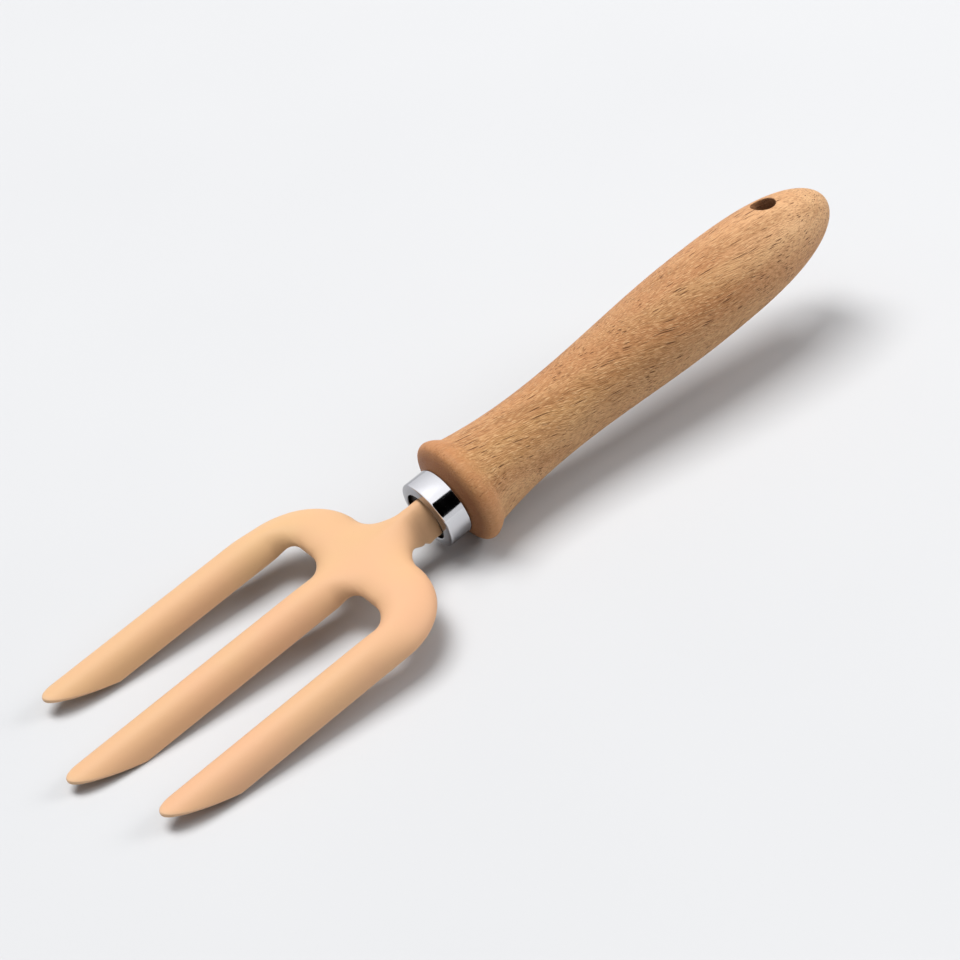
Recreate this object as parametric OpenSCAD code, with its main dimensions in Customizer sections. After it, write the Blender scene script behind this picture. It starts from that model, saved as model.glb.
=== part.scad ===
// Three-tine garden hand fork, lying at rest on a flat surface.
// +X runs from the tine points to the handle's end, +Y is across, +Z is up.
// The pieces are drawn about the handle's axis, with x = 0 at the shoulder where
// the ferrule seats, and are then tilted together onto the surface they lie on.

/* [Handle] */
// Length from the ferrule's seat to the rounded end
handle_length = 143.5; // [125:0.5:175]
// Largest diameter of the collar
collar_d = 32; // [28:0.5:39]
// Diameter at the waist behind the collar
waist_d = 22.8; // [20:0.2:26]
// Largest diameter of the grip
grip_d = 27.4; // [25:0.2:31]

/* [Hanging hole] */
// Diameter of the hole through the handle
hang_hole_d = 7.2; // [4:0.2:8]
// Distance from the hole's axis to the handle's end
hang_hole_inset = 19; // [16:0.5:26]
// Turn of the hole about the handle's axis, from straight up towards +Y
hang_hole_turn = 10; // [0:1:45]

/* [Ferrule] */
// Outer diameter
ferrule_d = 20.6; // [18:0.2:25]
// Length of the tube
ferrule_length = 7.8; // [6:0.2:10]
// Thickness of its wall
ferrule_wall = 0.8; // [0.6:0.1:1.2]
// Room between the fork's neck and the hole in the rolled front
mouth_room = 0.86; // [0.5:0.02:1.1]

/* [Fork] */
// Length from the ferrule's seat to the middle tine's point
fork_length = 126.1; // [105:0.5:152]
// How far the middle tine stands past the outer two
middle_lead = 10.5; // [0:0.5:20]
// Distance between two neighbouring tines
tine_pitch = 29.5; // [25:0.5:36]
// Width of one tine
tine_width = 12; // [10:0.5:14.5]
// Height of one tine's channel
tine_height = 7.3; // [6:0.1:9]
// Length of the slanted cut that makes the point
point_length = 18.6; // [12:0.2:24]
// Thickness of the pressed sheet
sheet = 1.6; // [1.2:0.1:1.8]
// Distance from the ferrule's seat to the end of the slots
slot_start = 37.5; // [34:0.5:42]
// Room between the tang and the inside of the neck's two sides
neck_room = 0.19; // [0.15:0.01:0.9]
// Height of the neck above the handle's axis
neck_top = 6.4; // [5:0.1:7.7]
// Depth of the neck below the handle's axis
neck_drop = 4.6; // [3.5:0.1:5.6]

/* [Tang] */
// Diameter of the rod that holds the fork in the handle
tang_d = 4.6; // [3.8:0.1:5.6]
// Length of the rod inside the wood
tang_grip = 62; // [40:1:80]
// Length of the rod inside the fork's neck
tang_weld = 15; // [12:1:17]

/* [Hidden] */

// Handle: stations along the axis, and the wood that the ferrule covers
waist_x = 38;
grip_x = 92;
cheek_x = 2.6;
collar_x = 4;
collar_cheek = 0.6;
collar_step = 2.2;
flare_x = 8.5;
spigot_gap = 0.1;
spigot_front = 0.3;
profile_step = 4;
tail_step = 7.5;
spigot_r = ferrule_d / 2 - ferrule_wall - spigot_gap;
spigot_length = ferrule_length - ferrule_wall - spigot_front;

// Tang: its place in the fork's neck and its bore in the wood
bore_gap = 0.05;
bore_spare = 1;
tang_start = -ferrule_length - tang_weld;
tang_end = -spigot_length + tang_grip;

// Neck: its inside, at the height of the tang's axis, clears the tang, and the
// ferrule's mouth clears its crown and its two lower edges
neck_share = sqrt(1 - pow(neck_drop / (neck_top + neck_drop), 2));
neck_half = (tang_d / 2 + neck_room + sheet) / neck_share;
mouth_r = max(neck_top, norm([neck_half, neck_drop])) + mouth_room;

// Fork: the sheet's plan outline and the heights of its upper face
half_tine = tine_width / 2;
half_span = tine_pitch + half_tine;
edge_z = -0.4;
crown_z = edge_z + tine_height;
palm_z = crown_z - 0.8;
palm_band = 11;
neck_start = spigot_length + 0.2;
flare_start = ferrule_length + 3.5;
flare_r = 9.5;
shoulder_y = neck_half + flare_r;
shoulder_l = flare_start + flare_r;
shoulder_end = shoulder_l + 20.2;
crown_start = slot_start - 5.5;
crown_end = slot_start + 13.5;
slot_half = tine_pitch / 2 - half_tine;
slot_corner = 6;
slot_flat = slot_half - slot_corner;
slot_lip = 0.5;
middle_heel = fork_length - point_length;
outer_heel = middle_heel - middle_lead;

// Number of facets: across one tine, along the palm, round a slot's corner, along
// a tine and along its point
tine_cols = 10;
web_cols = 3;
neck_rows = 3;
flare_rows = 6;
shoulder_rows = 8;
corner_rows = 4;
shank_rows = 3;
point_rows = 5;
slope_step = 0.05;

// The rest tilt: the collar and the middle tine's heel lie on the surface
collar_r = collar_d / 2;
rest_run = middle_heel + collar_x;
rest_tilt = atan((collar_r + edge_z) / rest_run);
rest_lift = collar_r * cos(rest_tilt) - collar_x * sin(rest_tilt);
tail_x = handle_length * cos(rest_tilt);
nose_x = -fork_length * cos(rest_tilt) - crown_z * sin(rest_tilt);
mid_x = (tail_x + nose_x) / 2;

$fn = 96;

// Smooth step from 0 at a to 1 at b
function ease(x, a, b) = let(t = min(max((x - a) / (b - a), 0), 1)) t * t * (3 - 2 * t);

// Quarter of an ellipse: 0 at the sheet's edge, 1 a band's width inside it
function roll(d, band) = let(t = 1 - min(max(d / band, 0), 1)) sqrt(1 - t * t);

// Distance from a point at length l and width y to the outer edge of the plan
function edge_distance(l, y) =
    let(w = abs(y), p = [l - shoulder_end, w - shoulder_y],
        k = norm([p[0] / (shoulder_end - shoulder_l), p[1] / (half_span - shoulder_y)]))
    l < flare_start ? neck_half - w
    : w < shoulder_y ? norm([l - flare_start, w - shoulder_y]) - flare_r
    : l < shoulder_end ? norm(p) * (1 / max(k, 0.001) - 1)
    : half_span - w;

// Distance from a point to the nearer slot, which is a rectangle with round corners
function slot_distance(l, y) =
    let(a = abs(abs(y) - tine_pitch / 2) - slot_flat,
        b = min(slot_start + slot_corner - l, l > slot_start + slot_corner ? 0 : 1000))
    norm([max(a, 0), max(b, 0)]) + min(max(a, b), 0) - slot_corner;

// Height of the sheet's upper face: a crown that rolls down to every edge
function sheet_z(l, y) =
    let(top = neck_top + (palm_z - neck_top) * ease(l, ferrule_length, shoulder_l + 5)
            + (crown_z - palm_z) * ease(l, crown_start, crown_end),
        low = -neck_drop + (edge_z + neck_drop) * ease(l, flare_start, shoulder_l),
        band = neck_half + (palm_band - neck_half) * ease(l, flare_start, shoulder_l + 7)
            - (palm_band - half_tine) * ease(l, crown_start, crown_end),
        lip = slot_lip + (1 - slot_lip) * ease(l, slot_start - 1, slot_start + slot_corner))
    low + (top - low) * roll(edge_distance(l, y), band)
        * (1 - lip * (1 - roll(slot_distance(l, y), half_tine)));

// Point on the upper face, and the one a sheet's thickness below it
function upper(l, y) = [-l, y, sheet_z(l, y)];
function lower(l, y) =
    let(h = slope_step,
        slope_l = (sheet_z(l + h, y) - sheet_z(l - h, y)) / (2 * h),
        slope_y = (sheet_z(l, y + h) - sheet_z(l, y - h)) / (2 * h),
        n = [slope_l, -slope_y, 1])
    upper(l, y) - sheet * n / norm(n);

// Half width of the plan where a row of the palm ends, and that row's two lengths
function flare_edge(t) = [flare_start + flare_r * sin(90 * t), shoulder_y - flare_r * cos(90 * t)];
function shoulder_edge(t) =
    let(a = acos((shoulder_end - slot_start) / (shoulder_end - shoulder_l)) * t)
    [shoulder_end - (shoulder_end - shoulder_l) * cos(a),
     shoulder_y + (half_span - shoulder_y) * sin(a)];
flare_mid = shoulder_l - 1;
palm_rows = concat(
    [for (i = [0:neck_rows - 1]) let(l = neck_start + (flare_start - neck_start) * i / neck_rows)
        [l, l, neck_half]],
    [for (i = [0:flare_rows - 1]) let(t = i / flare_rows, e = flare_edge(t))
        [flare_start + (flare_mid - flare_start) * t, e[0], e[1]]],
    [for (i = [0:shoulder_rows]) let(t = i / shoulder_rows, e = shoulder_edge(t))
        [flare_mid + (slot_start - flare_mid) * t, e[0], e[1]]]);

// Inner and outer edge of the two slots, as lengths and widths of the strips between
function slot_reach(l) =
    l < slot_start + slot_corner
    ? slot_flat + sqrt(max(0, pow(slot_corner, 2) - pow(l - slot_start - slot_corner, 2)))
    : slot_half;

// Shares of a strip's width, close together at its rolled edges
tine_shares = [for (j = [0:tine_cols]) sin(180 * j / tine_cols - 90)];
root_in = tine_pitch / 2 - slot_flat;
root_out = tine_pitch / 2 + slot_flat;
root_half = palm_rows[len(palm_rows) - 1][2];

// Widths of the palm's columns at the slots, from one side to the other
function strip(low, high) = [for (s = tine_shares) (low + high + (high - low) * s) / 2];
function between(low, high) = [for (j = [1:web_cols - 1]) low + (high - low) * j / web_cols];
root_widths = concat(strip(-root_half, -root_out), between(-root_out, -root_in),
    strip(-root_in, root_in), between(root_in, root_out), strip(root_out, root_half));
palm_plan = [for (r = palm_rows) [for (w = root_widths) let(v = w / root_half)
    [r[0] + (r[1] - r[0]) * v * v, v * r[2]]]];

// Rows of a tine past the slots' ends: round the corner, along the shank, then the
// point, where a slanted cut runs from the two lower edges out to the crown
function tine_lengths(heel) = concat(
    [for (i = [1:corner_rows]) slot_start + slot_corner * (1 - cos(90 * i / corner_rows))],
    [for (i = [1:shank_rows]) slot_start + slot_corner
        + (heel - point_length - slot_start - slot_corner) * i / shank_rows]);
function tine_plan(side, heel) = concat(
    [for (l = tine_lengths(heel)) [for (s = tine_shares) [l, tine_y(side, l, s)]]],
    [for (i = [1:point_rows]) let(start = heel - point_length)
        [for (s = tine_shares)
            [start + (point_length * (1 + sqrt(1 - s * s))) * i / point_rows,
             tine_y(side, heel, s)]]]);
function outer_edge(l) =
    l < shoulder_end
    ? shoulder_y + (half_span - shoulder_y)
        * sqrt(1 - pow((l - shoulder_end) / (shoulder_end - shoulder_l), 2))
    : half_span;
function tine_y(side, l, s) =
    let(inner = side == 0 ? -tine_pitch / 2 + slot_reach(l) : tine_pitch / 2 + slot_reach(l),
        outer = side == 0 ? tine_pitch / 2 - slot_reach(l) : outer_edge(l))
    side < 0 ? -(inner + outer + (outer - inner) * -s) / 2
    : (inner + outer + (outer - inner) * s) / 2;

// Triangles between the points of a grid, given as rows of their indices
function grid_faces(rows) = [for (i = [0:len(rows) - 2], j = [0:len(rows[0]) - 2])
    let(a = rows[i][j], b = rows[i][j + 1], c = rows[i + 1][j + 1], d = rows[i + 1][j])
    each [[a, c, b], [a, d, c]]];
function flat(rows) = [for (r = rows) each r];
function indices(rows, first) = [for (i = [0:len(rows) - 1])
    [for (j = [0:len(rows[0]) - 1]) first + i * len(rows[0]) + j]];

// A band of triangles between an edge of the upper face and the same edge below
function rim(edge, under) = [for (i = [0:len(edge) - 2])
    each [[edge[i], edge[i] + under, edge[i + 1] + under],
          [edge[i], edge[i + 1] + under, edge[i + 1]]]];

module fork_head() {
    right = tine_plan(-1, outer_heel);
    middle = tine_plan(0, middle_heel);
    left = tine_plan(1, outer_heel);
    plan = concat(flat(palm_plan), flat(right), flat(middle), flat(left));
    palm_index = indices(palm_plan, 0);
    root = palm_index[len(palm_index) - 1];
    last = len(root) - 1;
    middle_first = tine_cols + web_cols;
    left_first = last - tine_cols;
    right_at = len(flat(palm_plan));
    middle_at = right_at + len(flat(right));
    left_at = middle_at + len(flat(middle));
    right_index = concat([[for (j = [0:tine_cols]) root[j]]], indices(right, right_at));
    middle_index = concat([[for (j = [0:tine_cols]) root[middle_first + j]]],
        indices(middle, middle_at));
    left_index = concat([[for (j = [0:tine_cols]) root[left_first + j]]],
        indices(left, left_at));
    tines = [right_index, middle_index, left_index];
    faces_up = concat(grid_faces(palm_index), [for (t = tines) each grid_faces(t)]);
    under = len(plan);
    side = function (rows, j) [for (r = rows) r[j]];
    back = function (list) [for (i = [len(list) - 1:-1:0]) list[i]];
    around = function (t) concat(side(t, 0), t[len(t) - 1], back(side(t, tine_cols)));
    edge = concat(side(palm_index, 0), around(right_index),
        [for (j = [tine_cols:middle_first]) root[j]], around(middle_index),
        [for (j = [middle_first + tine_cols:left_first]) root[j]], around(left_index),
        back(side(palm_index, last)), back(palm_index[0]));
    loop = [for (i = [0:len(edge) - 1]) if (edge[i] != edge[(i + 1) % len(edge)]) edge[i]];
    color("#f2c19b") polyhedron(
        points = concat([for (p = plan) upper(p[0], p[1])], [for (p = plan) lower(p[0], p[1])]),
        faces = concat(faces_up, [for (f = faces_up) [f[0] + under, f[2] + under, f[1] + under]],
            rim(concat(loop, [loop[0]]), under)),
        convexity = 8);
}

// Steel rod, welded under the neck's crown and driven into the handle
module tang() {
    color("#8d9094") translate([tang_start, 0, 0]) rotate([0, 90, 0])
        cylinder(d = tang_d, h = tang_end - tang_start);
}

// Short tube with its front edge rolled inwards
module ferrule() {
    r = ferrule_d / 2;
    bend = 1.2;
    color("#d5d8dc") rotate([0, -90, 0]) rotate_extrude()
        difference() {
            union() {
                square([r, ferrule_length - bend]);
                square([r - bend, ferrule_length]);
                translate([r - bend, ferrule_length - bend]) circle(bend);
            }
            square([r - ferrule_wall, ferrule_length - ferrule_wall]);
            square([mouth_r, ferrule_length]);
        }
}

// Radius of the turned grip at x behind the collar's flare
function grip_r(x) =
    let(waist = waist_d / 2, grip = grip_d / 2,
        flare = (waist_x - x) / (waist_x - flare_x), tail = (x - grip_x) / (handle_length - grip_x))
    x < waist_x ? waist + (collar_r - collar_step - waist) * pow(flare, 2.2)
    : x < grip_x ? waist + (grip - waist) * ease(x, waist_x, grip_x)
    : grip * sqrt(1 - pow(tail, 3));

module handle() {
    outline = concat(
        [[-spigot_length, 0], [-spigot_length, spigot_r], [0, spigot_r],
         [cheek_x, collar_r - collar_cheek]],
        [for (a = [0:18:72]) [collar_x + (flare_x - collar_x) * a / 90,
            collar_r - collar_step * (1 - cos(a))]],
        [for (x = [flare_x:profile_step:grip_x]) [x, grip_r(x)]],
        [for (a = [0:tail_step:90]) let(x = grip_x + (handle_length - grip_x) * sin(a))
            [x, grip_r(x)]]);
    hole_x = handle_length - hang_hole_inset;
    color("#c8966a") difference() {
        rotate([0, 90, 0]) rotate_extrude() polygon([for (p = outline) [p[1], p[0]]]);
        translate([-spigot_length - 1, 0, 0]) rotate([0, 90, 0])
            cylinder(d = tang_d + 2 * bore_gap, h = tang_grip + 1 + bore_spare);
        translate([hole_x, 0, 0]) rotate([-hang_hole_turn, 0, 0])
            cylinder(d = hang_hole_d, h = 2 * grip_d, center = true);
    }
}

module at_rest() {
    translate([-mid_x, 0, rest_lift]) rotate([0, -rest_tilt, 0]) children();
}

at_rest() fork_head();
at_rest() tang();
at_rest() ferrule();
at_rest() handle();
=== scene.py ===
# Looks of a small three-tine hand fork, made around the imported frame.
# Lengths in the pieces' dictionaries are millimetres in the tool's own axes: x = 0 where the ferrule
# seats on the wood, +x to the handle's end, z up from the fork, and l = -x. Lengths in the studio's
# and the finishes' dictionaries are metres, apart from cardSpot, and a Stretch counts noise cells to
# the metre. Angles are degrees.
import math

import bpy
import numpy as np
from mathutils import Matrix, Vector


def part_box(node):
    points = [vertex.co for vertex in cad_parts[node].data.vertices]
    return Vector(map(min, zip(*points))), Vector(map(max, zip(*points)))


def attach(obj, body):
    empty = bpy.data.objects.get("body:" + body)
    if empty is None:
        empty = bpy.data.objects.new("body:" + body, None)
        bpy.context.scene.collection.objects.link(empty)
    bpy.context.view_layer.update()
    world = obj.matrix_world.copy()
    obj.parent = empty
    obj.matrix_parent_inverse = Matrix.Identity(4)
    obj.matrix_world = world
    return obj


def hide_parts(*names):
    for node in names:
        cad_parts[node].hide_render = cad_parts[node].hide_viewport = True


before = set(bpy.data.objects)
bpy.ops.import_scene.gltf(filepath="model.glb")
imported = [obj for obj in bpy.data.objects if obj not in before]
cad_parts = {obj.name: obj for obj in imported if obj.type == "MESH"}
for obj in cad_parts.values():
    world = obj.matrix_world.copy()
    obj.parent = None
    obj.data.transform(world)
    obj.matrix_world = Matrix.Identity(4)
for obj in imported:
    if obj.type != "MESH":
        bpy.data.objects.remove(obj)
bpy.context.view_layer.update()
print("frame loaded:", ", ".join(sorted(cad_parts)))


def toFloor(points):
    # Turned by the tilt about Y, slid along X and lifted, then millimetres to metres
    x, y, z = np.moveaxis(np.asarray(points, float), -1, 0)
    turned = [x * math.cos(tilt) - z * math.sin(tilt) + slide, y,
              x * math.sin(tilt) + z * math.cos(tilt) + lift]
    return np.stack(turned, -1) / 1000


def ease(x, low, high):
    # Smooth step: 3 t squared less 2 t cubed, t from 0 at low to 1 at high
    t = np.clip((x - low) / (high - low), 0, 1)
    return t * t * (3 - 2 * t)


def addPiece(name, points, faces, material, node, marks=None):
    mesh = bpy.data.meshes.new(name)
    mesh.from_pydata(points.tolist(), [], faces)
    mesh.update()
    mesh.polygons.foreach_set("use_smooth", np.ones(len(mesh.polygons), bool))
    for label, values in (marks or {}).items():
        layer = mesh.attributes.new(label, "FLOAT", "POINT")
        layer.data.foreach_set("value", np.asarray(values, np.float32))
    mesh.materials.append(material)
    piece = bpy.data.objects.new(name, mesh)
    bpy.context.scene.collection.objects.link(piece)
    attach(piece, "root")
    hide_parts(node)
    print(f"{name}: {len(points)} points, {len(faces)} faces")


# Fork head: one pressed sheet

forkHead = {
    "length": 126.1, "lead": 10.5, "pitch": 29.5, "tineWidth": 12.0, "pointLength": 18.6, "pointInset": 0.4,
    "sheet": 1.6, "rimBulge": 0.5, "rimShare": 0.6, "edgeZ": -0.4, "crownZ": 6.9, "palmZ": 6.1,
    "palmBand": 11.0, "neckHalf": 4.5, "neckTop": 6.4, "neckDrop": 4.6, "neckStart": 6.9,
    "flareStart": 11.3, "flareR": 9.5, "shoulderRun": 20.2, "slotStart": 37.5, "slotCorner": 6.0,
    "slotLip": 0.5, "slotLead": 1.0,
    "crownStart": 32.0, "crownEnd": 51.0, "ferruleFront": 7.8, "foldEnd": 18.0,
    "palmBlend": 5.0, "bandBlend": 7.0, "flareLead": 1.0,
    "nick": {"place": 12.3, "half": 0.55, "depth": 1.1}, "tab": {"place": 10.9, "half": 0.7, "depth": 0.25},
    "tineCols": 32, "webCols": 8, "neckRows": 24, "flareRows": 26, "shoulderRows": 26,
    "cornerRows": 14, "shankRows": 24, "pointRows": 26, "rimSteps": 6,
}


def roll(distance, band):
    # Quarter ellipse: 0 at the sheet's edge, 1 a band's width inside it
    t = 1 - np.clip(distance / band, 0, 1)
    return np.sqrt(1 - t * t)


def makeForkHead(size):
    halfTine = size["tineWidth"] / 2
    halfSpan = size["pitch"] + halfTine
    shoulderY = size["neckHalf"] + size["flareR"]
    shoulderL = size["flareStart"] + size["flareR"]
    shoulderEnd = shoulderL + size["shoulderRun"]
    slotHalf = size["pitch"] / 2 - halfTine
    slotFlat = slotHalf - size["slotCorner"]
    cornerL = size["slotStart"] + size["slotCorner"]

    def edgeDistance(l, y):
        # Distance to the plan's outer edge: neck side, concave flare arc, shoulder ellipse, tine side
        w = np.abs(y)
        a, b = l - shoulderEnd, w - shoulderY
        k = np.hypot(a / (shoulderEnd - shoulderL), b / (halfSpan - shoulderY))
        leastK = 0.001
        shoulder = np.hypot(a, b) * (1 / np.maximum(k, leastK) - 1)
        flare = np.hypot(l - size["flareStart"], b) - size["flareR"]
        side = np.where(l < shoulderEnd, shoulder, halfSpan - w)
        return np.where(l < size["flareStart"], size["neckHalf"] - w, np.where(w < shoulderY, flare, side))

    def slotDistance(l, y):
        # Distance to the nearer slot, a rectangle with round corners that is open at its far end
        a = np.abs(np.abs(y) - size["pitch"] / 2) - slotFlat
        farOff = 1000
        b = np.minimum(cornerL - l, np.where(l > cornerL, 0, farOff))
        outside = np.hypot(np.maximum(a, 0), np.maximum(b, 0))
        return outside + np.minimum(np.maximum(a, b), 0) - size["slotCorner"]

    def sheetHeight(l, y):
        # A crown that rolls down to every edge, lower and flatter over the palm than over the tines
        top = size["neckTop"] + (size["palmZ"] - size["neckTop"]) * ease(
            l, size["ferruleFront"], shoulderL + size["palmBlend"])
        top = top + (size["crownZ"] - size["palmZ"]) * ease(l, size["crownStart"], size["crownEnd"])
        low = -size["neckDrop"] + (size["edgeZ"] + size["neckDrop"]) * ease(
            l, size["flareStart"], size["foldEnd"])
        # A nick and a small tab in the folded edge, each of bell form
        for name, sign in (("nick", 1), ("tab", -1)):
            mark = size[name]
            low = low + sign * mark["depth"] * np.exp(-((l - mark["place"]) / mark["half"]) ** 2)
        low = low + size["rimBulge"]
        band = size["neckHalf"] + (size["palmBand"] - size["neckHalf"]) * ease(
            l, size["flareStart"], shoulderL + size["bandBlend"])
        band = band - (size["palmBand"] - halfTine) * ease(l, size["crownStart"], size["crownEnd"])
        lip = size["slotLip"] + (1 - size["slotLip"]) * ease(l, size["slotStart"] - size["slotLead"], cornerL)
        return low + (top - low) * roll(edgeDistance(l, y), band) * (
            1 - lip * (1 - roll(slotDistance(l, y), halfTine)))

    def upperPoint(l, y):
        return np.stack([-l, y, sheetHeight(l, y)], -1)

    def upward(l, y):
        # Unit normal of the upper face from central differences
        step = 0.01
        slopeL = (sheetHeight(l + step, y) - sheetHeight(l - step, y)) / (2 * step)
        slopeY = (sheetHeight(l, y + step) - sheetHeight(l, y - step)) / (2 * step)
        n = np.stack([slopeL, -slopeY, np.ones_like(slopeL)], -1)
        return n / np.linalg.norm(n, axis=-1, keepdims=True)

    # Palm: rows given by their length in the middle, their length at the edge and their half width
    shares = np.sin(np.linspace(-math.pi / 2, math.pi / 2, size["tineCols"] + 1))
    neckL = np.linspace(size["neckStart"], size["flareStart"], size["neckRows"], endpoint=False)
    neck = np.stack([neckL, neckL, np.full_like(neckL, size["neckHalf"])], -1)
    flareMid = shoulderL - size["flareLead"]
    t = np.linspace(0, 1, size["flareRows"], endpoint=False)
    flare = np.stack([size["flareStart"] + (flareMid - size["flareStart"]) * t,
                      size["flareStart"] + size["flareR"] * np.sin(t * math.pi / 2),
                      shoulderY - size["flareR"] * np.cos(t * math.pi / 2)], -1)
    t = np.linspace(0, 1, size["shoulderRows"] + 1)
    sweep = math.acos((shoulderEnd - size["slotStart"]) / (shoulderEnd - shoulderL)) * t
    shoulder = np.stack([flareMid + (size["slotStart"] - flareMid) * t,
                         shoulderEnd - (shoulderEnd - shoulderL) * np.cos(sweep),
                         shoulderY + (halfSpan - shoulderY) * np.sin(sweep)], -1)
    rows = np.concatenate([neck, flare, shoulder])
    rootIn, rootOut, rootHalf = size["pitch"] / 2 - slotFlat, size["pitch"] / 2 + slotFlat, rows[-1, 2]

    def strip(low, high):
        return (low + high + (high - low) * shares) / 2

    web = np.linspace(rootIn, rootOut, size["webCols"] + 1)[1:-1]
    v = np.concatenate([strip(-rootHalf, -rootOut), -web[::-1], strip(-rootIn, rootIn), web,
                        strip(rootOut, rootHalf)]) / rootHalf
    palmL = rows[:, :1] + (rows[:, 1:2] - rows[:, :1]) * v * v
    palmY = rows[:, 2:] * v

    # Tines: round the slot's corner, along the shank, then the slanted cut of the point
    def slotReach(l):
        square = size["slotCorner"] ** 2 - (np.minimum(l, cornerL) - cornerL) ** 2
        return slotFlat + np.sqrt(np.maximum(square, 0))

    def outerEdge(l):
        k = np.clip((l - shoulderEnd) / (shoulderEnd - shoulderL), -1, 0)
        return shoulderY + (halfSpan - shoulderY) * np.sqrt(1 - k * k)

    def tine(side, heel):
        start = heel - size["pointLength"]
        corner = size["slotStart"] + size["slotCorner"] * (
            1 - np.cos(np.linspace(0, math.pi / 2, size["cornerRows"] + 1)[1:]))
        shank = np.linspace(cornerL, start, size["shankRows"] + 1)[1:]
        l = np.repeat(np.concatenate([corner, shank])[:, None], len(shares), 1)
        reach = slotReach(l)
        inner = (size["pitch"] / 2 if side else -size["pitch"] / 2) + reach
        outer = outerEdge(l) if side else size["pitch"] / 2 - reach
        y = (inner + outer + (outer - inner) * shares) / 2
        step = (np.arange(size["pointRows"]) + 1)[:, None] / size["pointRows"]
        pointL = start + (size["pointLength"] * (1 + np.sqrt(1 - shares ** 2)) - size["pointInset"]) * step
        pointY = np.repeat(y[-1:], size["pointRows"], 0)
        l, y = np.concatenate([l, pointL]), np.concatenate([y, pointY])
        return (l[:, ::-1], -y[:, ::-1]) if side < 0 else (l, y)

    plans = [(palmL, palmY), tine(-1, middleHeel - size["lead"]), tine(0, middleHeel),
             tine(1, middleHeel - size["lead"])]
    starts = np.cumsum([0] + [p[0].size for p in plans])
    grids = [start + np.arange(p[0].size).reshape(p[0].shape) for start, p in zip(starts, plans)]
    l = np.concatenate([p[0].ravel() for p in plans])
    y = np.concatenate([p[1].ravel() for p in plans])
    root = grids[0][-1]
    cols = size["tineCols"]
    firsts = [0, cols + size["webCols"], len(root) - 1 - cols]
    for i, first in enumerate(firsts):
        grids[i + 1] = np.vstack([root[first:first + cols + 1], grids[i + 1]])

    def around(grid):
        return np.concatenate([grid[:, 0], grid[-1], grid[::-1, -1]])

    palm = grids[0]
    loop = np.concatenate([palm[:, 0], around(grids[1]), root[cols:firsts[1] + 1], around(grids[2]),
                           root[firsts[1] + cols:firsts[2] + 1], around(grids[3]), palm[::-1, -1],
                           palm[0, ::-1]])
    loop = loop[loop != np.roll(loop, -1)]

    upper = upperPoint(l, y)
    normal = upward(l, y)
    lower = upper - size["sheet"] * normal
    # Rounded rim: half an ellipse from the upper edge to the lower one, bulging out of the sheet
    run = np.roll(upper[loop], -1, 0) - np.roll(upper[loop], 1, 0)
    out = np.cross(normal[loop], run)
    out /= np.linalg.norm(out, axis=1, keepdims=True)
    angle = np.linspace(0, math.pi, size["rimSteps"] + 1)[1:-1, None, None]
    middle = (upper[loop] + lower[loop]) / 2
    rim = middle + normal[loop] * size["sheet"] / 2 * np.cos(angle) + out * size["rimBulge"] * np.sin(angle)
    count = len(l)
    rimIndex = 2 * count + np.arange(rim.shape[0] * len(loop)).reshape(rim.shape[:2])
    rings = np.concatenate([loop[None], rimIndex, loop[None] + count])
    rings = np.concatenate([rings, rings[:, :1]], 1)

    def quads(grid):
        return np.stack([grid[:-1, :-1], grid[:-1, 1:], grid[1:, 1:], grid[1:, :-1]], -1).reshape(-1, 4)

    top = np.concatenate([quads(g) for g in grids])
    faces = np.concatenate([top, top[:, ::-1] + count, quads(rings)])
    points = np.concatenate([upper, lower, rim.reshape(-1, 3)])
    rimMark = np.concatenate([np.zeros(2 * count), np.ones(len(points) - 2 * count)])
    rimMark[np.concatenate([loop, loop + count])] = size["rimShare"]
    addPiece("pressedFork", toFloor(points), faces.tolist(), powderCoat, "fork_head",
             {"rim": rimMark})


# Handle: a turned profile with the hanging hole let into its surface

woodHandle = {
    "length": 143.5, "collarR": 16.0, "collarX": 4.0, "collarCheek": 0.6, "collarStep": 2.2, "cheekX": 2.6,
    "flareX": 8.5, "flarePower": 2.2, "collarEnd": 14.0, "waistR": 11.4, "waistX": 38.0,
    "gripR": 13.7, "gripX": 92.0, "tailPower": 3, "spigotR": 9.4, "spigotLength": 6.7, "spigotEdge": 0.5,
    "boreR": 2.35, "boreEnd": 56.3, "boreRing": 20.0,
    "holeR": 3.6, "holeInset": 19.0, "holeTurn": 10.0, "holeSoft": 0.45, "holeReach": 6.0, "holeShade": 0.9,
    "cheekRim": 0.8, "cheekFade": 2.5, "cheekFrom": -0.5, "cheekTo": 3.2, "spigotShade": -4.0,
    "columns": 128, "collarArc": 6, "collarRings": 12, "collarSpacing": 0.25, "collarPasses": 8,
    "gripRings": 72, "tailRings": 30, "holeCols": 10, "holeRows": 20, "holeRings": 7, "softSteps": 4,
    "wallRings": 9,
}


def softened(points, spacing, passes):
    # A path resampled at even spacing, then averaged with its neighbours, its ends kept
    steps = np.r_[0, np.cumsum(np.hypot(*np.diff(points, axis=0).T))]
    even = np.linspace(0, steps[-1], int(steps[-1] / spacing) + 1)
    path = np.stack([np.interp(even, steps, points[:, i]) for i in (0, 1)], -1)
    for _ in range(passes):
        path[1:-1] = path[1:-1] / 2 + (path[:-2] + path[2:]) / 4
    return path


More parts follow.
